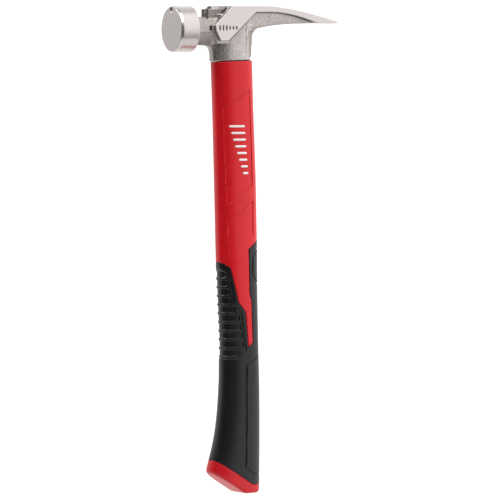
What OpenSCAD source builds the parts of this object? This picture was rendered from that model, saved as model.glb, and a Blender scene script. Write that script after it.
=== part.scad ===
// Framing hammer with a straight rip claw, a forged steel head, a fibreglass core
// and an overmoulded handle. Millimetres. The origin is the middle of the grip,
// +Z runs up the handle and -X is the striking direction.

/* [Striking end] */
// Height of the striking axis above the middle of the grip
strike_z = 215; // [200:1:230]
// Radius of the bell
bell_r = 18.5; // [17.5:0.1:19.5]
// Reach of the striking face in front of the eye
face_reach = 53; // [50:0.5:56]
// Length of the full-width bell behind its bevel
bell_len = 14.2; // [12:0.1:15]
// Length of the bevel round the striking face
bevel_len = 2; // [1:0.1:3]
// Depth of the bevel round the striking face
bevel_drop = 0.7; // [0.4:0.1:1.2]
// Half width of the eight-sided neck
neck_half = 10.4; // [9.4:0.1:11]

/* [Cheeks and claw] */
// Half thickness over the polished cheeks and the claw border
cheek_half = 13.8; // [13.2:0.1:14.5]
// Half thickness of the forged web below the border
web_half = 11.6; // [11.2:0.1:12.2]
// Height of the flat top of the head above the striking axis
head_top = 18.4; // [17.5:0.1:19]
// Reach of the claw tips behind the eye
claw_reach = 90.6; // [86:0.2:94]
// Reach of the nail slot's closed end behind the eye
slot_root = 42; // [38:1:48]
// Half width of the nail slot at the claw tips
slot_mouth = 5.5; // [4.8:0.1:6]

/* [Nail starter] */
// Half width of the block on top of the neck
block_half = 5.8; // [5.4:0.1:6.5]
// Width of the groove that a nail lies in
groove_w = 3.6; // [3:0.1:4]
// Depth of the groove
groove_depth = 3; // [2:0.1:3.5]
// Radius of the magnet
magnet_r = 3; // [2.5:0.1:3.5]
// Height of the magnet
magnet_h = 5; // [4:0.1:6]

/* [Handle] */
// Lean of the handle from square to the striking axis, in degrees
cant = 1.8; // [1.2:0.1:2.2]
// Half width of the handle just under the head
neck_w = 11.2; // [10.8:0.1:11.8]
// Half width of the handle at the butt
butt_w = 13.4; // [12.8:0.1:14]
// Squareness of the handle's oval section
squareness = 2.5; // [2.2:0.1:3]
// Half length of the core's section
core_a = 9; // [8.5:0.1:9.6]
// Half width of the core's section
core_b = 5; // [4.6:0.1:5.6]
// Thickness of resin between the core and the eye
resin_t = 1.3; // [1:0.1:1.6]
// Thickness of the resin line between the head and the jacket
bond_t = 0.9; // [0.6:0.1:1.2]

/* [Grip] */
// Thickness of the rubber
grip_t = 2.2; // [1.8:0.1:2.6]
// Depth of the dips between the ribs
rib_depth = 0.9; // [0.5:0.1:1.2]
// Distance from one rib to the next
rib_pitch = 6.9; // [6.5:0.1:7.2]
// Depth of the two sunk panels on each side of the jacket
panel_depth = 0.45; // [0.3:0.05:0.6]

/* [Hidden] */
$fn = 64;
eye_x = -6;
socket_z = -24.7;
seat_z = socket_z - bond_t;
handle_top = 196;
handle_low = -158;
ring_step = 10;
ring_sides = 36;
block_front = -23.4;
block_top = 16;
ridge_x = -20.2;
ledge_x = -14;
magnet_x = -19;
magnet_z = block_top - groove_depth - magnet_h;
core_top = 17.2;
core_len = 352;
spigot_len = 12;
spigot_gap = 0.2;
socket_shift = 0.6;
rib_top = 21.6;
rib_land = 2;
far = 60;

// How far back each dip of the grip reaches
rib_reach = [-14.5, -13.4, -12.2, -11, -8, -4, -3, -1.8, -0.8, -3.8];

// Front edge, rear edge and half width of the handle at chosen heights
handle_front = [[-158, -31], [-138, -26.8], [-125, -22.8], [-112, -19.4], [-93, -16.7],
                [-67, -14.9], [-35, -14.9], [10, -17.2], [45, -18.2], [95, -19.5], [150, -21], [196, -22.7]];
handle_rear = [[-158, 18.2], [-93, 18.3], [-67, 18.1], [-35, 17.2], [10, 16.3], [45, 16.2],
               [95, 15.2], [150, 13], [196, 11.6]];
handle_half = [[-158, butt_w], [-125, butt_w - 0.1], [-93, 12.5], [-35, 11.7], [10, 11.9],
               [60, 11.4], [196, neck_w]];

function arc(c, r, a0, a1, n) =
    [for (i = [0 : n]) let (a = a0 + (a1 - a0) * i / n) [c[0] + r * cos(a), c[1] + r * sin(a)]];
function curve(p, q, r, n) =
    [for (i = [0 : n]) let (t = i / n) p * (1 - t) * (1 - t) + 2 * q * t * (1 - t) + r * t * t];
function smooth(table, z) = (lookup(z - 8, table) + 2 * lookup(z, table) + lookup(z + 8, table)) / 4;
function bulge(v) = sign(v) * pow(abs(v), 2 / squareness);

function ring(z, grow) =
    let (front = smooth(handle_front, z), rear = smooth(handle_rear, z), half = smooth(handle_half, z))
    [for (i = [0 : ring_sides - 1])
        let (a = 360 * i / ring_sides)
        [(front + rear) / 2 + ((rear - front) / 2 + grow) * bulge(cos(a)),
         (half + grow) * bulge(sin(a)), z]];

// A closed skin of the handle between two heights, grown or shrunk all round
module skin(low, high, grow) {
    steps = ceil((high - low) / ring_step);
    last = steps * ring_sides;
    points = [for (j = [0 : steps]) each ring(low + (high - low) * j / steps, grow)];
    sides = [for (j = [0 : steps - 1]) for (i = [0 : ring_sides - 1])
        let (k = (i + 1) % ring_sides, a = j * ring_sides, b = a + ring_sides)
        [a + i, b + i, b + k, a + k]];
    floor_face = [for (i = [0 : ring_sides - 1]) i];
    top_face = [for (i = [0 : ring_sides - 1]) last + ring_sides - 1 - i];
    polyhedron(points, concat(sides, [floor_face, top_face]));
}

module side_slab(points, half)
    rotate([90, 0, 0]) linear_extrude(2 * half, center = true) polygon(points);

module along_x(points, from, to)
    translate([from, 0, 0]) rotate([90, 0, 90]) linear_extrude(to - from) polygon(points);

module at_eye() translate([eye_x, 0, strike_z]) children();
module leaning() at_eye() rotate([0, -cant, 0]) children();

module stadium(a, b, low, high) {
    for (side = [-1, 1]) translate([side * (a - b), 0, low]) cylinder(h = high - low, r = b);
    translate([b - a, -b, low]) cube([2 * (a - b), 2 * b, high - low]);
}

// Round bell with a bevelled face and a flared back, turned about the striking axis
module bell() {
    flare = 6.5;
    back = bevel_len + bell_len;
    translate([-face_reach, 0, 0]) rotate([0, 90, 0]) rotate_extrude()
        polygon(concat(
            [[0, 0], [bell_r - bevel_drop, 0], [bell_r, bevel_len], [bell_r, back - 0.5], [bell_r - 0.5, back]],
            arc([neck_half + flare, back + flare], flare, 270, 180, 8),
            [[0, back + flare]]));
}

module neck() {
    crown = [4.3, 9.7];
    shoulder = 4;
    lower = -2.5;
    half = [[neck_half, lower], [neck_half, shoulder], crown];
    keel = [[3.6, -12.5], [6.2, -8.8]];
    left = [for (p = [crown, [neck_half, shoulder], [neck_half, lower], keel[1], keel[0]]) [-p[0], p[1]]];
    along_x(concat(keel, half, left), -face_reach + bevel_len + bell_len, -8);
}

// Front web that runs from under the neck down to the socket
module throat() {
    side_slab(concat([[-28, -12.5], [-28, -6], [0, -6], [0, -24], [-15.7, -24]],
                     arc([-24.7, -21.5], 9, 0, 90, 8)), 3.6);
}

// Nail block: a low front, chamfered ridges on both sides of the groove, and a full back
module nail_block() {
    rise = head_top - block_top;
    along_x([[-block_half, 0], [block_half, 0], [block_half, block_top - 0.8],
             [block_half - 0.8, block_top], [0.8 - block_half, block_top], [-block_half, block_top - 0.8]],
            block_front, 0);
    intersection() {
        along_x([[-block_half, block_top - 2], [block_half, block_top - 2], [block_half, block_top],
                 [block_half - rise, head_top], [rise - block_half, head_top], [-block_half, block_top]],
                ridge_x - 1, 0);
        side_slab([[ridge_x - 1.5, block_top - rise], [ridge_x + 3, block_top + 2 * rise],
                   [2, block_top + 2 * rise], [2, block_top - rise]], 2 * block_half);
    }
    side_slab([[ledge_x, 10], [ledge_x, block_top], [ledge_x + 1.5, head_top], [0, head_top], [0, 10]], block_half);
}

// Polished cheek plates and the claw's upper border, one outline through both sides
module cheeks() {
    tip = [claw_reach - 0.4, 5.9];
    side_slab(concat(
        [[-5, head_top - 0.1], [-20.5, 3], [-20.1, -1.1], [-15.8, -9.2], [-8.8, -9.2], [16, 13.6]],
        curve([30, 13.6], [48, 13.6], [72.7, 4.4], 8),
        [[claw_reach - 1.7, 4.4], [claw_reach, 5]],
        curve(tip, [46, head_top], [24, head_top], 10)), cheek_half);
}

// Forged web under the border, with the fillet down to the back of the socket
module claw_web() {
    side_slab(concat(
        [[-12, -12], [-12, 10.8], [-9, 13.6], [24, 15], [45, 13], [72.7, 5]],
        curve([60, 4.3], [38, 4.3], [20.6, 0.8], 6),
        curve([19.6, 0.4], [15.8, -1.4], [15.6, -9], 4),
        [[15.6, -12]]), web_half);
}

function socket_outline(grow) = [for (p = ring(handle_top, grow)) [p[0] - eye_x - socket_shift, p[1]]];

module socket()
    rotate([0, -cant, 0]) translate([0, 0, socket_z]) {
        linear_extrude(0.6) polygon(socket_outline(-0.6));
        translate([0, 0, 0.6]) linear_extrude(15) polygon(socket_outline(0));
    }

module eye() {
    rotate([0, -cant, 0]) stadium(core_a + resin_t, core_b + resin_t, -40, 40);
}

module nail_slot() {
    root_half = 1.2;
    hull_len = claw_reach + 4 - slot_root;
    mouth = slot_mouth * hull_len / (claw_reach - slot_root);
    translate([slot_root, 0, 0]) linear_extrude(2 * far, center = true)
        polygon([[0, -root_half], [hull_len, -mouth], [hull_len, mouth], [0, root_half]]);
    translate([slot_root, 0, -far]) cylinder(h = 2 * far, r = root_half);
}

module nail_groove() {
    translate([block_front - 2, -groove_w / 2, block_top - groove_depth])
        cube([ledge_x - block_front + 2, groove_w, groove_depth + 5]);
    translate([magnet_x, 0, magnet_z]) cylinder(h = 20, r = magnet_r);
}

module head()
    color("silver") at_eye() difference() {
        union() {
            bell();
            neck();
            throat();
            nail_block();
            cheeks();
            claw_web();
            socket();
        }
        eye();
        nail_slot();
        nail_groove();
    }

module nail_magnet()
    color("dimgray") at_eye() translate([magnet_x, 0, magnet_z]) cylinder(h = magnet_h, r = magnet_r);

// Straight pultruded rod from the top of the eye to just above the butt
module handle_core()
    color("wheat") leaning() stadium(core_a, core_b, core_top - core_len, core_top);

module eye_resin()
    color("saddlebrown") leaning() difference() {
        union() {
            stadium(core_a + resin_t, core_b + resin_t, socket_z, core_top);
            translate([0, 0, seat_z]) linear_extrude(bond_t) polygon(socket_outline(-1.2));
        }
        stadium(core_a, core_b, seat_z - 5, core_top + 5);
    }

module below_head()
    leaning() translate([-far, -far, seat_z - 500]) cube([2 * far, 2 * far, 500]);

// Everything behind the parting line between the grip and the butt cap
module butt_side(drop)
    side_slab([[-45, -128.3 - drop], [-23.5, -129.4 - drop], [8, -149.3 - drop], [30, -148.3 - drop],
               [30, -200], [-45, -200]], far);

module butt_outline()
    side_slab(concat([[-45, -100], [-45, -130], [-29, -137], [-26.4, -139], [0.5, -155.7]],
                     [[2.5, -156.2]], arc([14.6, -152.3], 3.9, 270, 360, 5), [[18.6, -100]]), far);

// Side view of the area that the rubber covers, with the jacket's tongue left free
module grip_area() {
    tongue = [[-11.2, 24.4], [-4.7, -3], [1.6, -10.6], [4, -37.8], [4.9, -38.7], [8.4, -35.6],
              [7.1, -1.8], [5.2, 3.8], [4.6, 39.5]];
    side_slab(concat([[-45, -180], [-45, 30], [-19, 30]], tongue, [[17, 48], [30, 48], [30, -180]]), far);
}

module panel(high_rear, high_front, low_front, low_rear)
    side_slab([high_rear, high_front, low_front, low_rear], far);

module panel_cuts()
    difference() {
        union() {
            panel([4.2, 166.6], [-18, 152.5], [-14.3, 74.6], [8.1, 89.4]);
            panel([8.4, 77.9], [-15.1, 62.6], [-14.6, 43.3], [8.8, 55.4]);
        }
        skin(handle_low, handle_top, -panel_depth);
    }

module handle_jacket()
    color("crimson") difference() {
        intersection() {
            skin(handle_low, handle_top, 0);
            below_head();
        }
        difference() {
            grip_area();
            skin(handle_low - 1, handle_top, -grip_t);
        }
        butt_side(0);
        panel_cuts();
        leaning() stadium(core_a, core_b, -400, 0);
    }

module rib_dips()
    difference() {
        for (i = [0 : len(rib_reach) - 1])
            let (high = rib_top - i * rib_pitch, low = high - rib_pitch + rib_land)
            side_slab([[-40, high], [rib_reach[i] - 1, high], [rib_reach[i], high - 1],
                       [rib_reach[i], low + 1], [rib_reach[i] - 1, low], [-40, low]], far);
        skin(handle_low, handle_top, -rib_depth);
    }

module grip()
    color("dimgray") difference() {
        intersection() {
            skin(handle_low, handle_top, 0);
            grip_area();
        }
        skin(handle_low - 1, handle_top, -grip_t);
        butt_side(0);
        rib_dips();
    }

// Solid cap at the butt, with a spigot that closes the core's tunnel
module butt_cap()
    color("crimson") union() {
        intersection() {
            skin(handle_low, handle_top, 0);
            butt_side(0);
            butt_outline();
        }
        intersection() {
            leaning() stadium(core_a - spigot_gap, core_b - spigot_gap, -375, core_top - core_len);
            side_slab([[-40, -100], [-40, -160], [40, -160], [40, -100]], far);
            butt_outline();
        }
    }

head();
nail_magnet();
handle_core();
eye_resin();
handle_jacket();
grip();
butt_cap();
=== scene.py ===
import math

import bpy
import numpy as np
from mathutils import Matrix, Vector


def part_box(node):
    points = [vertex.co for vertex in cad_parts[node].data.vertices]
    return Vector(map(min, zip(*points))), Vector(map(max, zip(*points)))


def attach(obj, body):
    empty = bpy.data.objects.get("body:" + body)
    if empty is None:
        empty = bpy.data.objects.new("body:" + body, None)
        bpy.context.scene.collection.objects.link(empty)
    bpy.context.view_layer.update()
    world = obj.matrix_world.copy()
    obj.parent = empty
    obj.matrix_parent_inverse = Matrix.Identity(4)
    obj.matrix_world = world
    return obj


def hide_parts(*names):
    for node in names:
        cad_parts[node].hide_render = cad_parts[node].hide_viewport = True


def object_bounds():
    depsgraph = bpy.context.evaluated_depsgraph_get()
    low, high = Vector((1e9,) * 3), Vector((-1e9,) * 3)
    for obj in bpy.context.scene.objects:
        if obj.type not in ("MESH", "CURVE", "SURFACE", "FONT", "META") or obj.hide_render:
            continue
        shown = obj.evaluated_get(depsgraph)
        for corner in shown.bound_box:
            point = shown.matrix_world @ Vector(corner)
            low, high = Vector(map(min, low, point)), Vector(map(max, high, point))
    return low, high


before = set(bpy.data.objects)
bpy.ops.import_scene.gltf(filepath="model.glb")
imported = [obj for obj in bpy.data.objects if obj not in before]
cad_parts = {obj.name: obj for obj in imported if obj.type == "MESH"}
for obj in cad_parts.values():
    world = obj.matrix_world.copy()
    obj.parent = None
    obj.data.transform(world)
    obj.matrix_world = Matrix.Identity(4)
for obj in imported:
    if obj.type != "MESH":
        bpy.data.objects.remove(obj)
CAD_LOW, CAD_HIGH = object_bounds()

# Lengths are millimetres until a mesh is made, in the CAD frame: +Z up the handle, -X the strike.
MM = 0.001

HEAD_LOW, HEAD_HIGH = (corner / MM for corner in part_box("head"))
BELL_R = HEAD_HIGH.y
STRIKE_Z = HEAD_HIGH.z - BELL_R
FACE_REACH = 53.0
BEVEL_BACK, BEVEL_DROP, BELL_BACK = -50.9, 0.85, -36.8
EYE_X = HEAD_LOW.x + FACE_REACH
CLAW_REACH = HEAD_HIGH.x - EYE_X
HEAD_TOP = 18.4
CHEEK_HALF = 13.8
CANT = math.radians(1.8)
SOCKET_Z = -24.7
SEAT_Z = -25.6


# ---------------------------------------------------------------- distance fields

def polygon_distance(points, u, v):
    """Signed distance from (u, v) to a closed outline, negative inside."""
    best = None
    sign = None
    for (ax, ay), (bx, by) in zip(points, points[1:] + points[:1]):
        ex, ey = bx - ax, by - ay
        wu, wv = u - ax, v - ay
        t = np.clip((wu * ex + wv * ey) / (ex * ex + ey * ey), 0, 1)
        gap = (wu - ex * t) ** 2 + (wv - ey * t) ** 2
        best = gap if best is None else np.minimum(best, gap)
        above, below, left = v >= ay, v < by, ex * wv > ey * wu
        flip = (above & below & left) | (~above & ~below & ~left)
        sign = np.where(flip, -1.0, 1.0) if sign is None else sign * np.where(flip, -1.0, 1.0)
    return np.sqrt(best) * sign


def slab(flat, across, half, edge):
    """An outline's distance made into a slab of that half thickness, with rounded edges."""
    a, b = flat + edge, np.abs(across) - (half - edge)
    return np.minimum(np.maximum(a, b), 0) + np.hypot(np.maximum(a, 0), np.maximum(b, 0)) - edge


def join(a, b, soft):
    """Union with a blend of that size."""
    h = np.clip(0.5 + 0.5 * (b - a) / soft, 0, 1)
    return b * (1 - h) + a * h - soft * h * (1 - h)


def common(a, b, soft):
    """Intersection with a blend of that size."""
    return -join(-a, -b, soft)


def rounded_common(a, b, radius):
    """Intersection whose edge is a true arc of that radius."""
    inner = np.minimum(np.maximum(a, b), -radius)
    return inner + np.hypot(np.maximum(a + radius, 0), np.maximum(b + radius, 0))


def curve(p, q, r, steps):
    """Points of a quadratic curve from p to r that leans towards q."""
    return [tuple((1 - t) ** 2 * a + 2 * t * (1 - t) * b + t * t * c for a, b, c in zip(p, q, r))
            for t in (i / steps for i in range(steps + 1))]


def arc(centre, radius, start, end, steps):
    """Points of an arc between two angles in degrees."""
    angles = [math.radians(start + (end - start) * i / steps) for i in range(steps + 1)]
    return [(centre[0] + radius * math.cos(a), centre[1] + radius * math.sin(a)) for a in angles]


def leaning(x, z):
    """Head coordinates turned into the leaning frame of the handle."""
    c, s = math.cos(CANT), math.sin(CANT)
    return x * c + z * s, z * c - x * s


# ---------------------------------------------------------------- meshing a field

CORNERS = [(i, j, k) for i in (0, 1) for j in (0, 1) for k in (0, 1)]
CELL_EDGES = [(a, b) for a in range(8) for b in range(a + 1, 8)
              if sum(p != q for p, q in zip(CORNERS[a], CORNERS[b])) == 1]


def cell_points(values, cells, axes):
    """The vertex of each cell: the middle of the places where its edges cross the surface."""
    corner_values = [values[tuple((cells + c).T)] for c in CORNERS]
    total, hits = np.zeros((len(cells), 3)), np.zeros(len(cells))
    for a, b in CELL_EDGES:
        va, vb = corner_values[a], corner_values[b]
        cross = (va < 0) != (vb < 0)
        t = np.where(cross, va / np.where(cross, va - vb, 1), 0)
        spot = np.array(CORNERS[a]) + t[:, None] * (np.array(CORNERS[b]) - np.array(CORNERS[a]))
        total += spot * cross[:, None]
        hits += cross
    total /= hits[:, None]
    return np.stack([axes[k][cells[:, k]] + total[:, k] * np.diff(axes[k])[cells[:, k]]
                     for k in range(3)], 1)


def cell_quads(inside, ids, axis):
    """Quads between the four cells round each sample edge along that axis that crosses the surface."""
    one, two = (axis + 1) % 3, (axis + 2) % 3
    change = np.argwhere(inside != np.roll(inside, -1, axis))
    limit = np.array(inside.shape) - 1
    change = change[(change < limit).all(1) & (change[:, one] > 0) & (change[:, two] > 0)]
    unit_one, unit_two = np.eye(3, dtype=int)[one], np.eye(3, dtype=int)[two]
    ring = [change - unit_one - unit_two, change - unit_two, change, change - unit_one]
    face = np.stack([ids[tuple(r.T)] for r in ring], 1)
    outward = inside[tuple(change.T)]
    return np.where(outward[:, None], face, face[:, ::-1])


def net_of(values, axes):
    """Surface net of a sampled field: vertices near the surface, and the quads that join them."""
    inside = values < 0
    nx, ny, nz = (n - 1 for n in values.shape)
    count = sum(inside[i:nx + i, j:ny + j, k:nz + k].astype(np.int8) for i, j, k in CORNERS)
    cells = np.argwhere((count > 0) & (count < 8))
    ids = np.full((nx, ny, nz), -1, np.int64)
    ids[tuple(cells.T)] = np.arange(len(cells))
    quads = [cell_quads(inside, ids, axis) for axis in range(3)]
    return cell_points(values, cells, axes), np.concatenate(quads)


def gradient(field, p, reach=0.04):
    """Slope of a field along each axis at the points p."""
    columns = []
    for axis in range(3):
        shift = np.zeros(3)
        shift[axis] = reach
        ahead, behind = p + shift, p - shift
        columns.append((field(*ahead.T) - field(*behind.T)) / (2 * reach))
    return np.stack(columns, 1)


def settle(field, p, rounds, most):
    """Moves points onto the field's surface."""
    for _ in range(rounds):
        g = gradient(field, p)
        step = field(*p.T)[:, None] * g / np.maximum((g * g).sum(1), 0.2)[:, None]
        p = p - np.clip(step, -most, most)
    return p


def solid_of(field, axes):
    """Points, quads and normals of a field's surface, sampled along those three axes."""
    x, y, z = axes[0][:, None, None], axes[1][None, :, None], axes[2][None, None, :]
    values = np.broadcast_to(field(x, y, z), [len(a) for a in axes])
    points, quads = net_of(np.ascontiguousarray(values), axes)
    points = settle(field, points, 2, 0.15)
    normals = gradient(field, points)
    normals /= np.maximum(np.linalg.norm(normals, axis=1), 1e-9)[:, None]
    return points, quads, normals


def spaced(*stops):
    """Sample places from (start, step), (next start, step) ... to a last (end,)."""
    runs = []
    for (start, step), after in zip(stops[:-1], stops[1:]):
        step = step * 1.0
        runs.append(np.arange(start, after[0] - step * 0.5, step))
    return np.concatenate(runs + [np.array([stops[-1][0]])])


def mesh_object(name, points, faces, normals=None):
    """A Blender object from arrays of points, in millimetres, and triangles or quads."""
    mesh = bpy.data.meshes.new(name)
    sides = faces.shape[1]
    mesh.vertices.add(len(points))
    mesh.vertices.foreach_set("co", (points * MM).astype(np.float32).ravel())
    mesh.loops.add(faces.size)
    mesh.loops.foreach_set("vertex_index", faces.astype(np.int32).ravel())
    mesh.polygons.add(len(faces))
    mesh.polygons.foreach_set("loop_start", np.arange(0, faces.size, sides, dtype=np.int32))
    mesh.update(calc_edges=True)
    mesh.polygons.foreach_set("use_smooth", np.ones(len(faces), bool))
    if normals is not None:
        mesh.normals_split_custom_set_from_vertices(normals.tolist())
    piece = bpy.data.objects.new(name, mesh)
    bpy.context.scene.collection.objects.link(piece)
    return piece


def paint_value(piece, name, values):
    """Stores one number per vertex under that name, for the materials."""
    piece.data.attributes.new(name, "FLOAT", "POINT").data.foreach_set(
        "value", np.asarray(values, np.float32))


# ---------------------------------------------------------------- forged head

NECK_HALF, NECK_SHOULDER, NECK_LOWER = 10.2, 4.0, -2.5
WEB_HALF = 10.3
PLATE_FRONT = [(-5.0, HEAD_TOP), (-20.5, 3.0), (-20.1, -1.1), (-15.8, -9.2), (-8.8, -9.2), (16.0, 13.6)]
BORDER_LOW = curve((30.0, 13.6), (48.0, 13.6), (72.7, 4.4), 14)
CLAW_TOP = curve((CLAW_REACH - 0.4, 5.9), (46.0, HEAD_TOP), (24.0, HEAD_TOP), 18)
PLATE = PLATE_FRONT + BORDER_LOW + [(CLAW_REACH - 1.7, 4.4), (CLAW_REACH, 5.0)] + CLAW_TOP
LEDGE = [(-19.0, 2.0), (-20.1, -1.1), (-15.8, -9.2), (-8.8, -9.2), (-3.0, -4.0), (-3.0, 2.0)]
WEB = ([(-12.0, -12.0), (-12.0, 6.0), (-4.0, 13.6), (24.0, 15.0), (45.0, 13.0), (72.7, 5.0)]
       + curve((60.0, 4.3), (38.0, 4.3), (20.6, 0.8), 10)
       + curve((19.6, 0.4), (15.8, -1.4), (15.6, -9.0), 6) + [(15.6, -12.0)])
THROAT = [(-28.0, -12.5), (-28.0, -6.0), (0.0, -6.0), (0.0, -24.4), (-15.7, -24.4)] \
    + arc((-24.7, -21.5), 9.0, 0, 90, 10)
NECK = [(3.6, -12.5), (6.4, -9.0), (NECK_HALF, -2.6), (NECK_HALF, NECK_SHOULDER), (4.6, 9.7),
        (-4.6, 9.7), (-NECK_HALF, NECK_SHOULDER), (-NECK_HALF, -2.6), (-6.4, -9.0), (-3.6, -12.5)]
BLOCK_FRONT, BLOCK_TOP, BLOCK_HALF = -23.4, 16.0, 5.8
RIDGE_X, LEDGE_X = -20.2, -14.0
GROOVE_R = 1.8
MAGNET_X, MAGNET_R, MAGNET_Z = -19.0, 3.0, 8.0
SLOT_ROOT, SLOT_ROOT_HALF, SLOT_MOUTH = 42.0, 1.2, 5.5
EYE_A, EYE_B = 10.3, 6.3
SOCKET_FRONT, SOCKET_REAR, SOCKET_HALF = -17.0, 16.6, 11.1
SOCKET_BACK = [(4.0, -8.5), (9.0, -10.2), (11.0, -9.8), (14.9, -7.0), (14.9, 7.0), (11.0, 9.8),
               (9.0, 10.2), (4.0, 8.5)]
SQUARENESS = 2.5


def bell_field(x, y, z):
    """Round bell with a bevelled face, turned about the striking axis."""
    soft = 0.3
    outline = [(-3.0, -FACE_REACH + soft), (BELL_R - BEVEL_DROP, -FACE_REACH + soft),
               (BELL_R - soft, BEVEL_BACK), (BELL_R - soft, BELL_BACK - soft), (-3.0, BELL_BACK - soft)]
    return polygon_distance(outline, np.hypot(y, z), x) - soft


def oval_field(x, y, front, rear, half):
    """Distance to the handle's oval section, near enough close to its surface."""
    a = (rear - front) / 2
    u, v = np.abs(x - (front + rear) / 2) / a + 1e-6, np.abs(y) / half + 1e-6
    f = (u ** SQUARENESS + v ** SQUARENESS) ** (1 / SQUARENESS)
    slope = np.hypot(u ** (SQUARENESS - 1) / a, v ** (SQUARENESS - 1) / half) * f ** (1 - SQUARENESS)
    return (f - 1) / slope


def socket_field(x, y, z):
    """Oval column round the eye, squared off at the back with a chamfer down each corner."""
    lx, lz = leaning(x, z)
    column = oval_field(lx, y, SOCKET_FRONT, SOCKET_REAR, SOCKET_HALF)
    taper = 0.06 * np.maximum(-6.0 - lz, 0)
    column = join(column, polygon_distance(SOCKET_BACK, lx + taper, y) - 0.3, 0.5)
    column = rounded_common(column, SOCKET_Z - lz, 0.35)
    return common(column, z - 12.5, 1.5)


def block_field(x, y, z):
    """Low front, chamfered ridges on both sides of the groove, and a full-width back."""
    soft = 0.3
    step = [(BLOCK_FRONT, 0.0), (BLOCK_FRONT, BLOCK_TOP), (RIDGE_X, BLOCK_TOP),
            (RIDGE_X + 1.5, HEAD_TOP), (2.0, HEAD_TOP), (2.0, 0.0)]
    block = slab(polygon_distance(step, x, z), y, BLOCK_HALF, soft)
    chamfer = (np.abs(y) - BLOCK_HALF + z - BLOCK_TOP) * math.sqrt(0.5)
    return common(block, np.where(x < LEDGE_X, chamfer, -9.0), 0.2)


def block_corner(x, y, z, plate_flat):
    """True in the corner where the nail block's wall meets the plate's sloping front, where a painted
    shade line goes.
    """
    return (np.abs(np.abs(y) - BLOCK_HALF - 0.3) < 0.6) & (plate_flat < 0.8) & (z > 9.0) & (x < 0.0)


def pocket_field(x, y, z):
    """A small square hollow on each side where the neck meets the plate's front corner."""
    return np.maximum(np.maximum(np.abs(x + 23.1) - 0.9, np.abs(z - 0.8) - 1.6), 9.2 - np.abs(y))


def starter_cuts(x, y, z):
    """Groove that a nail lies in, through the bell and the block, and the magnet pocket."""
    groove = np.hypot(y, np.minimum(z - (BLOCK_TOP - 1.2), 0)) - GROOVE_R
    groove = np.maximum(groove, x - LEDGE_X)
    pocket = np.maximum(np.hypot(x - MAGNET_X, y) - MAGNET_R, MAGNET_Z - z)
    return np.minimum(groove, pocket)


def slot_field(x, y):
    """Wedge of the nail slot with a round closed end."""
    reach = CLAW_REACH + 6 - SLOT_ROOT
    mouth = SLOT_ROOT_HALF + (SLOT_MOUTH - SLOT_ROOT_HALF) * reach / (CLAW_REACH - SLOT_ROOT)
    wedge = polygon_distance([(SLOT_ROOT, -SLOT_ROOT_HALF), (SLOT_ROOT + reach, -mouth),
                              (SLOT_ROOT + reach, mouth), (SLOT_ROOT, SLOT_ROOT_HALF)], x, y)
    return np.minimum(wedge, np.hypot(x - SLOT_ROOT, y) - SLOT_ROOT_HALF)


def slot_bevel(x, y, z, flat):
    """Ground bevels that widen the nail slot towards the underside of the claw."""
    underside = 4.3 + np.maximum(0, 45 - x) * 0.02
    return (flat - 0.9 + (z - underside)) * 0.75


def eye_field(x, y, z):
    """Bore through the head for the core and its resin."""
    lx, _ = leaning(x, z)
    return np.hypot(np.maximum(np.abs(lx) - (EYE_A - EYE_B), 0), y) - EYE_B


def web_half(z):
    """The web is full width under the border, and narrows down the back of the socket."""
    t = np.clip((3.0 - z) / 9.0, 0, 1)
    return WEB_HALF - 4.0 * t * t * (3 - 2 * t)


def head_field(x, y, z):
    """The whole forging, in millimetres from the middle of the eye on the striking axis."""
    plate_flat = polygon_distance(PLATE, x, z)
    neck = slab(polygon_distance(NECK, y, z), x + 24, 16, 0.35)
    throat = slab(polygon_distance(THROAT, x, z), y, 3.7, 0.7)
    body = join(neck, join(throat, socket_field(x, y, z), 6.0), 1.8)
    body = join(body, bell_field(x, y, z), 4.5)
    body = join(body, slab(polygon_distance(WEB, x, z), y, web_half(z), 0.8), 2.5)
    body = join(body, slab(polygon_distance(LEDGE, x, z) - 2.2, y, 10.9, 0.4), 0.4)
    body = join(body, slab(plate_flat, y, CHEEK_HALF, 0.4), 0.4)
    body = join(body, block_field(x, y, z), 0.4)
    body = common(body, -pocket_field(x, y, z), 0.3)
    body = common(body, -starter_cuts(x, y, z), 0.35)
    slot = slot_field(x, y)
    body = common(body, -slot, 0.5)
    body = common(body, -slot_bevel(x, y, z, slot), 0.4)
    return common(body, -eye_field(x, y, z), 0.5)


def polish_of(p, normals):
    """1 on the ground and polished faces, 0 on the blasted forging."""
    x, y, z = p.T
    bell = bell_field(x, y, z) < 0.12
    flat = polygon_distance(PLATE, x, z)
    plate = (np.abs(y) > CHEEK_HALF - 0.5) & (flat < 0.15)
    top = (z > 4.6) & (normals[:, 2] > 0.85) & (np.abs(flat) < 0.3) & (x > -4)
    return (bell | plate | top) * 1.0


def neck_painted_shade(x, y, z):
    """Painted shade and reflection on the neck: darker towards its keel, on its facet edges and on the
    flare behind the bell.
    """
    lower = 0.12 + np.clip((NECK_LOWER - z) / 8.0, 0, 1) * 0.3
    # painted shade: a little on the upper facet, none on the side facet, more on the lower facets
    facet = np.where(z > NECK_SHOULDER, 0.12, np.where(z > NECK_LOWER, 0.0, lower))
    edge = (np.abs(z - NECK_SHOULDER) < 0.3) | (np.abs(z - NECK_LOWER) < 0.3)
    facet = np.where(edge, 0.35, facet)
    flare = 0.3 * np.clip((z + 6.0) / 6.0, 0, 1) + 0.1
    shade = np.where(x < -32.5, np.maximum(flare, facet), facet)
    return shade * (x < -20.0) * (z < 10.5) * (np.hypot(y, z) < 17.0) * (bell_field(x, y, z) > 0.1)


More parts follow.
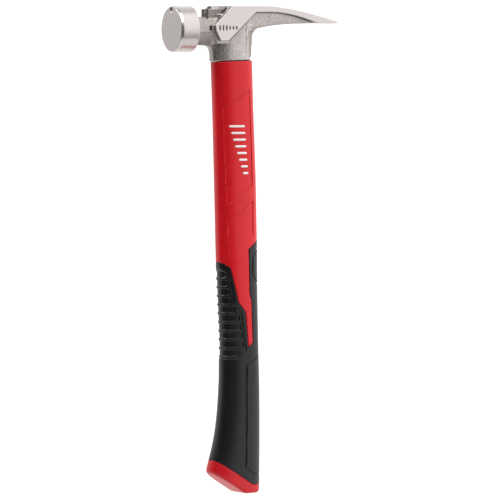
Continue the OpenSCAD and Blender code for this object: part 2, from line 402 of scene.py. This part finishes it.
def painted_shade_of(p):
    """Painted shade on the forging: dark in the corners, on the nail block's walls and down the
    socket's back.
    """
    x, y, z = p.T
    side = np.abs(y)
    flat = polygon_distance(PLATE, x, z)
    lx, _ = leaning(x, z)
    # painted shade on the nail block's side walls
    block = (z > 9.0) & (z < HEAD_TOP - 0.4) & (x < 2.0) & (side < BLOCK_HALF + 0.2)
    block &= side + z < BLOCK_HALF + BLOCK_TOP - 0.3
    # painted shade on the front wall of the nail block, which faces the back of the bell
    front = np.clip((BLOCK_FRONT + 0.5 - x) / 0.3, 0, 1) * (z > 8.0) * (z < BLOCK_TOP - 0.5)
    front *= (x > BLOCK_FRONT - 1.0) & (side < BLOCK_HALF + 0.3)
    # painted shadow along the underside of the plate's edges and the claw border
    under = (side < CHEEK_HALF - 0.5) & (side > WEB_HALF - 1.0) & (x > -8.0)
    under &= flat < np.where(x > 17.0, 0.9, 1.9)
    # painted shade down the back corners of the socket
    corner = (lx > 10.8) & (z < -1.0) & (side > 2.0)
    # painted shade in the corner beside the nail block and in the small hollows by the neck
    hollow_shade = block_corner(x, y, z, flat) | (pocket_field(x, y, z) < 0.15)
    shades = [block * 0.5, front, under * 0.6, corner * 0.45, hollow_shade * 1.0, neck_painted_shade(x, y, z)]
    return np.max(shades, axis=0)


def build_head():
    """The forging, meshed finer round the front of its plates, with its painted values."""
    axes = [spaced((-FACE_REACH - 1.2, 0.55), (-24.5, 0.36), (-3.0, 0.55), (CLAW_REACH + 1.2,)),
            spaced((-BELL_R - 1.2, 0.58), (-14.4, 0.36), (-11.4, 0.52), (-7.2, 0.34), (-5.2, 0.58),
                   (5.2, 0.34), (7.2, 0.52), (11.4, 0.36), (14.4, 0.58), (BELL_R + 1.2,)),
            spaced((-26.5, 0.55), (-10.0, 0.42), (19.0, 0.3), (BELL_R + 1.2,))]
    points, quads, normals = solid_of(head_field, axes)
    piece = mesh_object("forged_head", points + np.array([EYE_X, 0, STRIKE_Z]), quads, normals)
    paint_value(piece, "polish", polish_of(points, normals))
    # the scale values are painted shade and reflection
    paint_value(piece, "scale", painted_shade_of(points))
    return piece


# ---------------------------------------------------------------- handle

HANDLE_FRONT = [(-158, -31), (-138, -26.8), (-125, -22.8), (-112, -19.4), (-93, -16.7), (-67, -14.9),
                (-35, -14.9), (10, -17.2), (45, -18.2), (95, -19.5), (150, -21), (196, -22.7)]
HANDLE_REAR = [(-158, 18.2), (-93, 18.3), (-67, 18.1), (-35, 17.2), (10, 16.3), (45, 16.2), (95, 15.2),
               (150, 13), (196, 11.6)]
HANDLE_HALF = [(-158, 13.4), (-125, 13.3), (-93, 12.5), (-35, 11.7), (10, 11.9), (60, 11.4),
               (196, 11.2)]
CORE_A, CORE_B = 9.0, 5.0
CORE_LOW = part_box("handle_core")[0].z / MM - STRIKE_Z + 0.1
GRIP_T = 2.2
JOIN_GAP = 0.12
TONGUE = [(-11.2, 24.4), (-4.7, -3.0), (1.6, -10.6), (4.0, -37.8), (4.9, -38.7), (8.4, -35.6),
          (7.1, -1.8), (5.2, 3.8), (4.6, 39.5)]
GRIP_AREA = [(-45.0, -180.0), (-45.0, 30.0), (-19.0, 30.0)] + TONGUE + [(17.0, 48.0), (30.0, 48.0),
                                                                        (30.0, -180.0)]
BUTT_SIDE = [(-45.0, -128.3), (-23.5, -129.4), (8.0, -149.3), (30.0, -148.3), (30.0, -200.0),
             (-45.0, -200.0)]
BUTT_OUTLINE = ([(-45.0, -100.0), (-45.0, -130.0), (-29.0, -137.0), (-26.4, -139.0), (0.5, -155.7),
                 (2.5, -156.2)] + arc((14.6, -152.3), 3.9, 270, 360, 6) + [(18.6, -100.0)])
PANEL = [(6.3, 166.6), (-17.0, 152.5), (-14.0, 75.1), (8.7, 89.8)]
PANEL_TWO = [(9.1, 77.9), (-13.5, 62.5), (-12.2, 34.0), (9.3, 34.0)]
REAR_PAD = [(30.0, 41.0), (14.2, 39.3), (8.4, 32.6), (8.3, 19.4), (13.8, 11.8), (30.0, 10.6)]
RIB_TOP, RIB_PITCH, RIB_LAND, RIB_DEPTH = 21.6, 6.96, 2.1, 0.75
RIB_REACH = [-14.6, -13.5, -12.2, -11.0, -8.0, -4.0, -2.9, -1.7, -0.8, -3.7]
RIB_BORDER = [(-17.6, 23.2), (-14.65, 19.8), (-11.3, 13.2), (-8.9, 0.5), (-8.5, -4.6), (-2.1, -12.2),
              (0.7, -33.6), (1.8, -41.4), (-5.2, -47.6), (-15.3, -48.2), (-30.0, -48.6)]
REAR_BORDER = [(30.0, -40.0), (17.0, -44.2), (2.2, -53.8), (1.6, -110.0), (0.8, -135.4), (9.3, -141.0),
               (30.0, -141.0)]


def along_handle(table, z):
    """A width of the handle at height z, with the table's corners smoothed out."""
    heights, widths = zip(*table)
    return (np.interp(z - 8, heights, widths) + 2 * np.interp(z, heights, widths)
            + np.interp(z + 8, heights, widths)) / 4


def skin_field(x, y, z):
    """Outside of the handle from butt to head."""
    return oval_field(x, y, along_handle(HANDLE_FRONT, z), along_handle(HANDLE_REAR, z),
                      along_handle(HANDLE_HALF, z))


def lean_of(x, z):
    """Shared coordinates turned into the leaning frame of the handle."""
    return leaning(x - EYE_X, z - STRIKE_Z)


def core_field(x, y, z, slack):
    """Fibreglass core, grown by the slack."""
    lx, _ = lean_of(x, z)
    return np.hypot(np.maximum(np.abs(lx) - (CORE_A - CORE_B), 0), y) - CORE_B - slack


def line_distance(points, u, v):
    """Distance from (u, v) to an open line."""
    best = None
    for (ax, ay), (bx, by) in zip(points, points[1:]):
        ex, ey = bx - ax, by - ay
        wu, wv = u - ax, v - ay
        t = np.clip((wu * ex + wv * ey) / (ex * ex + ey * ey), 0, 1)
        gap = (wu - ex * t) ** 2 + (wv - ey * t) ** 2
        best = gap if best is None else np.minimum(best, gap)
    return np.sqrt(best)


def jacket_field(x, y, z):
    """Red jacket with its sunk panels, less the rubber, the cap and the core."""
    skin = skin_field(x, y, z)
    _, lz = lean_of(x, z)
    body = rounded_common(skin, lz - SEAT_Z, 0.6)
    fade = np.clip((z - 40.0) / 21.0, 0, 1)
    for outline, deep in ((PANEL, 0.6), (PANEL_TWO, 0.6 * fade)):
        panel = polygon_distance(outline, x, z)
        body = common(body, -np.maximum(panel, -(skin + deep)), 0.35)
    grip = polygon_distance(GRIP_AREA, x, z) - JOIN_GAP
    body = common(body, -np.maximum(grip, -(skin + GRIP_T)), 0.6)
    body = common(body, -polygon_distance(BUTT_SIDE, x, z), 0.3)
    return common(body, -core_field(x, y, z, 0.02), 0.1)


def rib_dips(x, z):
    """Side view of the ten dips between the ribs, as a distance."""
    best = None
    for i, reach in enumerate(RIB_REACH):
        round_by = 1.5 if i < 4 else 0.8
        high = RIB_TOP - i * RIB_PITCH
        half = (RIB_PITCH - RIB_LAND) / 2 - round_by
        u = np.maximum(x - (reach - round_by), 0)
        v = np.maximum(np.abs(z - (high - half - round_by)) - half, 0)
        dip = np.hypot(u, v) - round_by
        best = dip if best is None else np.minimum(best, dip)
    return best


def grip_field(x, y, z):
    """Rubber shell with its ribs and border lines."""
    skin = skin_field(x, y, z)
    lines = np.minimum(line_distance(RIB_BORDER, x, z), line_distance(REAR_BORDER, x, z))
    lines = np.minimum(lines, line_distance(REAR_PAD, x, z))
    body = common(skin, 0.6 - np.hypot(lines, skin + 0.05), 0.25)
    body = common(body, -np.maximum(rib_dips(x, z), -(skin + RIB_DEPTH)), 0.8)
    body = rounded_common(body, polygon_distance(GRIP_AREA, x, z) + JOIN_GAP, 0.4)
    body = common(body, -(skin + GRIP_T), 0.1)
    return rounded_common(body, JOIN_GAP - polygon_distance(BUTT_SIDE, x, z), 0.35)


def cap_field(x, y, z):
    """Butt cap with the spigot that closes the tunnel of the core."""
    skin = skin_field(x, y, z)
    body = rounded_common(skin, polygon_distance(BUTT_OUTLINE, x, z), 2.6)
    body = rounded_common(body, polygon_distance(BUTT_SIDE, x, z), 0.35)
    spigot = np.maximum(core_field(x, y, z, -0.2), polygon_distance(BUTT_OUTLINE, x, z) + 3)
    _, lz = lean_of(x, z)
    return np.minimum(body, np.maximum(spigot, lz - CORE_LOW))


def handle_piece(name, field, low, high, *heights):
    """Meshes one moulding between two corners, at the heights given."""
    axes = [spaced((low[0], 0.6), (high[0],)), spaced((low[1], 0.6), (high[1],)), spaced(*heights)]
    points, quads, normals = solid_of(field, axes)
    return mesh_object(name, points, quads, normals)


def mark_stipple(grip):
    """1 inside the outlined rear panel and along the rear strip above it, 0 elsewhere."""
    count = len(grip.data.vertices)
    p = np.empty(count * 3, np.float32)
    grip.data.vertices.foreach_get("co", p)
    x, _, z = (p.reshape(-1, 3) / MM).T
    panel = polygon_distance(REAR_BORDER, x, z) < -0.8
    strip = (z > -38.0) & (x > 4.0)
    paint_value(grip, "stipple", np.maximum(panel, 0.5 * strip))


def build_handle():
    """The jacket, the rubber grip and the butt cap."""
    jacket = handle_piece("jacket_moulding", jacket_field, (-26, -13.6), (20, 13.6), (-152, 2.6),
                          (-44, 0.64), (50, 0.98), (191.5,))
    grip = handle_piece("grip_overmould", grip_field, (-31, -14.6), (20, 14.6), (-151, 0.98),
                        (-56, 0.52), (49.5,))
    mark_stipple(grip)
    cap = handle_piece("butt_moulding", cap_field, (-31, -14.6), (20, 14.6), (-158, 0.5), (-120,))
    return jacket, grip, cap


# ---------------------------------------------------------------- printed and etched marks

def skin_point(field, x, z, lift):
    """The point on the near side of that field at (x, z), lifted along its normal."""
    y = np.full_like(x, -9.0)
    low, high = np.full_like(x, -30.0), np.full_like(x, -0.5)
    for _ in range(40):
        y = (low + high) / 2
        outside = field(x, y, z) > 0
        low, high = np.where(outside, y, low), np.where(outside, high, y)
    p = np.stack([x, y, z], 1)
    g = gradient(field, p)
    return p + lift * g / np.linalg.norm(g, axis=1)[:, None]


def bar_patch(field, centre, size, lean, lift):
    """A rounded bar that lies on a curved side: rows of points and its quads, closed below."""
    across, along = 5, max(4, int(size[0] / 0.8))
    u = np.linspace(-1, 1, along + 1)
    v = np.linspace(-1, 1, across)
    uu, vv = np.meshgrid(u, v, indexing="ij")
    squeeze = np.sqrt(np.clip(1 - np.clip((np.abs(uu) * size[0] / 2 - (size[0] - size[1]) / 2)
                                          / (size[1] / 2), 0, 0.96) ** 2, 0, 1))
    du, dv = uu * size[0] / 2, vv * squeeze * size[1] / 2
    c, s = math.cos(lean), math.sin(lean)
    x, z = (centre[0] + du * c - dv * s).ravel(), (centre[1] + du * s + dv * c).ravel()
    top, under = skin_point(field, x, z, lift), skin_point(field, x, z, -0.06)
    return grid_shell(top, under, along + 1, across)


def grid_shell(top, under, rows, columns):
    """A closed thin shell from two grids of points."""
    n = rows * columns
    faces = []
    for i in range(rows - 1):
        for j in range(columns - 1):
            a = i * columns + j
            quad = [a, a + 1, a + columns + 1, a + columns]
            faces.append(quad)
            faces.append([n + k for k in reversed(quad)])
    rim = ([i * columns for i in range(rows)] + [(rows - 1) * columns + j for j in range(1, columns)]
           + [i * columns + columns - 1 for i in range(rows - 2, -1, -1)]
           + [j for j in range(columns - 2, 0, -1)])
    for a, b in zip(rim, rim[1:] + rim[:1]):
        faces.append([a, b, n + b, n + a])
    return np.concatenate([top, under]), np.array(faces)


def gather(name, patches):
    """One object from several closed patches."""
    points, faces, base = [], [], 0
    for p, f in patches:
        points.append(p)
        faces.append(f + base)
        base += len(p)
    return mesh_object(name, np.concatenate(points), np.concatenate(faces))


def build_marks():
    """Plain bars where the real tool carries marks: white on the jacket, dark on the cheek."""
    white = []
    for i in range(8):
        t = i / 7
        front, rear = -12.6 + 12.0 * t, 1.4 + 3.2 * t
        white.append(bar_patch(jacket_field, ((front + rear) / 2, 137.6 - 37.4 * t),
                               (rear - front, 1.7), 0.0, 0.05))
    etched = [bar_patch(lambda x, y, z: head_field(x - EYE_X, y, z - STRIKE_Z),
                        (EYE_X - 16.6 + i * 3.0, STRIKE_Z + 1.1), (4.6 if i < 3 else 3.2, 1.5),
                        math.radians(90), 0.03) for i in range(6)]
    return gather("scale_bars", white), gather("etched_bars", etched)


# ---------------------------------------------------------------- materials

def node_of(tree, kind, values=(), **settings):
    """A shader node with its settings, and its inputs set from (name, constant or socket)."""
    node = tree.nodes.new(kind)
    for name, value in settings.items():
        setattr(node, name, value)
    for name, value in values:
        socket = node.inputs[name]
        if isinstance(value, bpy.types.NodeSocket):
            tree.links.new(value, socket)
        else:
            socket.default_value = value
    return node


def calc(tree, how, a, b, clamp=False):
    """Output of a math node."""
    return node_of(tree, "ShaderNodeMath", [(0, a), (1, b)], operation=how, use_clamp=clamp).outputs[0]


def blend_colour(tree, mask, a, b):
    """Colour a where the mask is 0, b where it is 1."""
    mix = node_of(tree, "ShaderNodeMix", [(0, mask), (6, a), (7, b)], data_type="RGBA")
    return mix.outputs[2]


def remap(tree, value, low, high, to_low, to_high):
    """A value moved from one range to another, held at its ends."""
    return node_of(tree, "ShaderNodeMapRange", [(0, value), (1, low), (2, high), (3, to_low),
                                                (4, to_high)]).outputs[0]


def place(tree, scale=(1, 1, 1)):
    """Object coordinates in millimetres, stretched by scale."""
    where = tree.nodes.new("ShaderNodeTexCoord").outputs["Object"]
    return node_of(tree, "ShaderNodeVectorMath", [(0, where), (1, [1000 * s for s in scale])],
                   operation="MULTIPLY").outputs[0]


def noise(tree, where, scale, detail=3.0, rough=0.55):
    """Value of a noise texture."""
    return node_of(tree, "ShaderNodeTexNoise", [("Vector", where), ("Scale", scale), ("Detail", detail),
                                                ("Roughness", rough)]).outputs["Fac"]


def group_of(name, inputs, outputs):
    """An empty node group with named sockets, and its two end nodes."""
    tree = bpy.data.node_groups.new(name, "ShaderNodeTree")
    for label, kind, value in inputs:
        socket = tree.interface.new_socket(label, in_out="INPUT", socket_type=kind)
        socket.default_value = value
    for label, kind in outputs:
        tree.interface.new_socket(label, in_out="OUTPUT", socket_type=kind)
    return tree, tree.nodes.new("NodeGroupInput"), tree.nodes.new("NodeGroupOutput")


def grain_group():
    """Fine raised grain, used by the forging, the plastics and the rubber."""
    tree, given, result = group_of("fine_grain", [("Size", "NodeSocketFloat", 1.0)],
                                   [("Height", "NodeSocketFloat"), ("Patch", "NodeSocketFloat")])
    where = place(tree)
    scale = calc(tree, "DIVIDE", 1.0, given.outputs["Size"])
    fine = noise(tree, where, scale, 4.0)
    broad = noise(tree, where, calc(tree, "MULTIPLY", scale, 0.08), 2.0)
    tree.links.new(fine, result.inputs["Height"])
    tree.links.new(broad, result.inputs["Patch"])
    return tree


def use_group(tree, group, **values):
    """Places a node group with its own values."""
    node = tree.nodes.new("ShaderNodeGroup")
    node.node_tree = group
    for name, value in values.items():
        node.inputs[name].default_value = value
    return node


def new_material(name, base):
    """An empty node material and its Principled shader."""
    material = bpy.data.materials.new(name)
    material.use_nodes = True
    material.diffuse_color = base
    tree = material.node_tree
    return material, tree, tree.nodes["Principled BSDF"]


def bumped(tree, shader, height, strength, reach):
    """Raises the surface by a height, reach in millimetres."""
    bump = node_of(tree, "ShaderNodeBump", [("Height", height), ("Strength", strength),
                                            ("Distance", reach * MM)])
    tree.links.new(bump.outputs[0], shader.inputs["Normal"])


def attribute(tree, name):
    """A painted value of the mesh."""
    return node_of(tree, "ShaderNodeAttribute", attribute_name=name).outputs["Fac"]


def steel_material(grain):
    """Blasted forging with ground bell, cheeks and claw border."""
    material, tree, shader = new_material("forged_steel", (0.55, 0.52, 0.5, 1))
    polish = attribute(tree, "polish")
    shot = use_group(tree, grain, Size=1.0)
    brushed = noise(tree, place(tree, (0.5, 5.0, 5.0)), 1.0, 3.0)
    mottle = calc(tree, "ADD", calc(tree, "MULTIPLY", shot.outputs["Height"], 0.75),
                  calc(tree, "MULTIPLY", shot.outputs["Patch"], 0.25))
    blasted = blend_colour(tree, remap(tree, mottle, 0.36, 0.64, 0, 1),
                           (0.35, 0.317, 0.298, 1), (0.62, 0.575, 0.555, 1))
    # painted shade: the scale values darken the blasted steel towards near black
    blasted = blend_colour(tree, attribute(tree, "scale"), blasted, (0.085, 0.075, 0.068, 1))
    ground = blend_colour(tree, remap(tree, brushed, 0.35, 0.65, 0, 1),
                          (0.575, 0.527, 0.513, 1), (0.605, 0.56, 0.547, 1))
    tree.links.new(blend_colour(tree, polish, blasted, ground), shader.inputs["Base Color"])
    shader.inputs["Metallic"].default_value = 1.0
    rough_forged = remap(tree, shot.outputs["Height"], 0.3, 0.7, 0.30, 0.40)
    rough_ground = remap(tree, brushed, 0.3, 0.7, 0.24, 0.34)
    rough = node_of(tree, "ShaderNodeMix", [(0, polish), (2, rough_forged), (3, rough_ground)])
    tree.links.new(rough.outputs[0], shader.inputs["Roughness"])
    quiet = remap(tree, polish, 0, 1, 1.0, 0.05)
    bumped(tree, shader, calc(tree, "MULTIPLY", shot.outputs["Height"], quiet), 1.0, 0.4)
    return material


def plastic_material(name, grain, dark, light, rough):
    """Moulded red polymer: a soft gloss over a faint mould grain."""
    material, tree, shader = new_material(name, dark)
    skin = use_group(tree, grain, Size=0.5)
    tone = remap(tree, skin.outputs["Patch"], 0.3, 0.7, 0, 1)
    tree.links.new(blend_colour(tree, tone, dark, light), shader.inputs["Base Color"])
    tree.links.new(remap(tree, skin.outputs["Height"], 0.3, 0.7, rough - 0.03, rough + 0.04),
                   shader.inputs["Roughness"])
    shader.inputs["Specular IOR Level"].default_value = 0.34
    bumped(tree, shader, skin.outputs["Height"], 0.25, 0.04)
    return material


def rubber_material(grain):
    """Moulded rubber, with a coarser stipple where the panels are."""
    material, tree, shader = new_material("grip_rubber", (0.02, 0.02, 0.021, 1))
    skin = use_group(tree, grain, Size=0.4)
    pebble = use_group(tree, grain, Size=0.9)
    tone = remap(tree, skin.outputs["Patch"], 0.3, 0.7, 0, 1)
    tree.links.new(blend_colour(tree, tone, (0.0055, 0.0055, 0.0068, 1), (0.0085, 0.0085, 0.0100, 1)),
                   shader.inputs["Base Color"])
    tree.links.new(remap(tree, skin.outputs["Height"], 0.3, 0.7, 0.31, 0.38),
                   shader.inputs["Roughness"])
    shader.inputs["Specular IOR Level"].default_value = 0.36
    coarse = calc(tree, "MULTIPLY", pebble.outputs["Height"], attribute(tree, "stipple"))
    height = calc(tree, "ADD", calc(tree, "MULTIPLY", skin.outputs["Height"], 0.2), coarse)
    bumped(tree, shader, height, 0.8, 0.2)
    return material


def simple_material(name, grain, low, high, rough, metal, size):
    """A grained finish between two tones, for the core, the resin, the magnet and the marks."""
    material, tree, shader = new_material(name, low)
    skin = use_group(tree, grain, Size=size)
    tree.links.new(blend_colour(tree, remap(tree, skin.outputs["Height"], 0.35, 0.65, 0, 1), low, high),
                   shader.inputs["Base Color"])
    tree.links.new(remap(tree, skin.outputs["Height"], 0.3, 0.7, rough - 0.06, rough + 0.06),
                   shader.inputs["Roughness"])
    shader.inputs["Metallic"].default_value = metal
    bumped(tree, shader, skin.outputs["Height"], 0.3, 0.03)
    return material


def fibreglass_material():
    """Pultruded rod: pale resin with glass strands along its length."""
    material, tree, shader = new_material("fibreglass", (0.7, 0.62, 0.42, 1))
    strands = noise(tree, place(tree, (3.0, 3.0, 0.03)), 1.0, 4.0)
    tree.links.new(blend_colour(tree, remap(tree, strands, 0.35, 0.65, 0, 1), (0.50, 0.42, 0.25, 1),
                                (0.78, 0.72, 0.55, 1)), shader.inputs["Base Color"])
    tree.links.new(remap(tree, strands, 0.3, 0.7, 0.3, 0.5), shader.inputs["Roughness"])
    bumped(tree, shader, strands, 0.4, 0.04)
    return material


def assign(piece, material):
    """Puts one material in every slot of a piece."""
    if not piece.data.materials:
        piece.data.materials.append(material)
    for slot in piece.material_slots:
        slot.material = material


def finish_piece(piece, slot, material, *nodes):
    """Gives a new piece its material and body, and hides the CAD nodes that it stands for; its slot
    argument is not used.
    """
    assign(piece, material)
    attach(piece, "root")
    if nodes:
        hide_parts(*nodes)


def dress():
    """Builds every piece and gives it its finish and its body."""
    grain = grain_group()
    steel = steel_material(grain)
    red = plastic_material("red_polymer", grain, (0.61, 0.007, 0.012, 1), (0.66, 0.009, 0.015, 1),
                           rough=0.30)
    cap_red = plastic_material("red_cap", grain, (0.50, 0.005, 0.010, 1), (0.56, 0.007, 0.013, 1),
                               rough=0.34)
    white = simple_material("white_print", grain, (0.80, 0.80, 0.80, 1), (0.88, 0.88, 0.88, 1),
                            rough=0.5, metal=0.0, size=0.4)
    etch = simple_material("etched_dark", grain, (0.10, 0.09, 0.085, 1), (0.16, 0.145, 0.14, 1),
                           rough=0.6, metal=0.6, size=0.3)
    resin = simple_material("resin", grain, (0.016, 0.012, 0.010, 1), (0.030, 0.022, 0.018, 1),
                            rough=0.35, metal=0.0, size=0.8)
    magnet = simple_material("magnet", grain, (0.30, 0.30, 0.31, 1), (0.42, 0.42, 0.43, 1),
                             rough=0.35, metal=1.0, size=0.5)
    finish_piece(build_head(), "forged_steel", steel, "head")
    jacket, grip, cap = build_handle()
    finish_piece(jacket, "red_polymer", red, "handle_jacket")
    finish_piece(grip, "grip_rubber", rubber_material(grain), "grip")
    finish_piece(cap, "red_cap", cap_red, "butt_cap")
    bars, etched = build_marks()
    finish_piece(bars, "red_polymer", white)
    finish_piece(etched, "forged_steel", etch)
    assign(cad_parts["nail_magnet"], magnet)
    assign(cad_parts["handle_core"], fibreglass_material())
    assign(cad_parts["eye_resin"], resin)


# ---------------------------------------------------------------- camera, light and floor

AZIMUTH = math.radians(28)
BACK = Vector((-math.sin(AZIMUTH), -math.cos(AZIMUTH), 0))
RIGHT = Vector((math.cos(AZIMUTH), -math.sin(AZIMUTH), 0))
FAR = 4.5
FRONT_LEVEL, BACK_LEVEL, LEFT_SHADE, DARKEST, RIGHT_LEVEL = 0.12, 1.25, 0.2, 0.025, 1.43
AIM = Vector((0, 0, 0.0384)) + RIGHT * 0.01025


def make_camera():
    """Long lens at the viewing angle, a little above the hammer."""
    scene = bpy.context.scene
    data = bpy.data.cameras.new("camera")
    camera = bpy.data.objects.new("camera", data)
    scene.collection.objects.link(camera)
    drop = math.radians(2.4)
    camera.location = AIM + BACK * FAR * math.cos(drop) + Vector((0, 0, FAR * math.sin(drop)))
    camera.rotation_euler = (AIM - camera.location).to_track_quat("-Z", "Y").to_euler()
    data.lens = 36 * FAR / 0.4
    scene.camera = camera


def area_light(name, spot, size, power, mirrored=True):
    """A soft box that faces the middle of the hammer, and may be kept out of its reflections."""
    data = bpy.data.lights.new(name, "AREA")
    data.shape = "RECTANGLE"
    data.size, data.size_y = size
    data.energy = power
    lamp = bpy.data.objects.new(name, data)
    lamp.location = spot
    lamp.rotation_euler = (AIM - lamp.location).to_track_quat("-Z", "Y").to_euler()
    lamp.visible_glossy = mirrored
    bpy.context.scene.collection.objects.link(lamp)


def toward(tree, where, direction):
    """How far a direction points that way: 1 along it, -1 away from it."""
    return node_of(tree, "ShaderNodeVectorMath", [(0, where), (1, tuple(direction))],
                   operation="DOT_PRODUCT").outputs["Value"]


def make_world():
    """White studio: bright behind the hammer, dimmer in front, darkest to the front left."""
    scene = bpy.context.scene
    world = bpy.data.worlds.new("studio")
    world.use_nodes = True
    tree = world.node_tree
    backdrop = tree.nodes["Background"]
    backdrop.inputs["Color"].default_value = (1, 1, 1, 1)
    where = tree.nodes.new("ShaderNodeTexCoord").outputs["Generated"]
    behind = remap(tree, toward(tree, where, -BACK), -0.15, 0.8, FRONT_LEVEL, BACK_LEVEL)
    left = remap(tree, toward(tree, where, -RIGHT), 0.2, 0.8, 0.0, LEFT_SHADE)
    right = remap(tree, toward(tree, where, RIGHT + Vector((0, 0, 0.35))), 0.42, 0.84, 0.0, RIGHT_LEVEL)
    lit = calc(tree, "MAXIMUM", calc(tree, "SUBTRACT", behind, left), DARKEST)
    lit = calc(tree, "MAXIMUM", lit, right)
    seen = tree.nodes.new("ShaderNodeLightPath").outputs["Is Camera Ray"]
    tree.links.new(calc(tree, "MAXIMUM", lit, seen), backdrop.inputs["Strength"])
    scene.world = world
    scene.view_settings.view_transform = "Standard"


def make_floor():
    """A round pale floor well under the butt."""
    low = CAD_LOW.z - 0.07
    mesh = bpy.data.meshes.new("floor")
    rim = [(0.5 * math.cos(a), 0.5 * math.sin(a), low) for a in (math.tau * i / 48 for i in range(48))]
    mesh.from_pydata(rim, [], [list(range(48))])
    floor = bpy.data.objects.new("floor", mesh)
    bpy.context.scene.collection.objects.link(floor)
    material, tree, shader = new_material("floor", (1, 1, 1, 1))
    shader.inputs["Base Color"].default_value = (0.7, 0.7, 0.7, 1)
    shader.inputs["Roughness"].default_value = 0.9
    shader.inputs["Emission Color"].default_value = (1, 1, 1, 1)
    seen = tree.nodes.new("ShaderNodeLightPath").outputs["Is Camera Ray"]
    tree.links.new(remap(tree, seen, 0, 1, 0.05, 1.0), shader.inputs["Emission Strength"])
    assign(floor, material)


make_camera()
make_world()
make_floor()
area_light("overhead", AIM + BACK * 0.75 + Vector((0, 0, 1.35)), (1.3, 1.3), 14)
area_light("right_high", AIM + RIGHT * 1.4 - BACK * 0.1 + Vector((0, 0, 1.2)), (0.9, 1.6), 10,
           mirrored=False)
area_light("left_high", AIM - RIGHT * 1.3 - BACK * 0.1 + Vector((0, 0, 1.1)), (0.9, 0.9), 17)
dress()
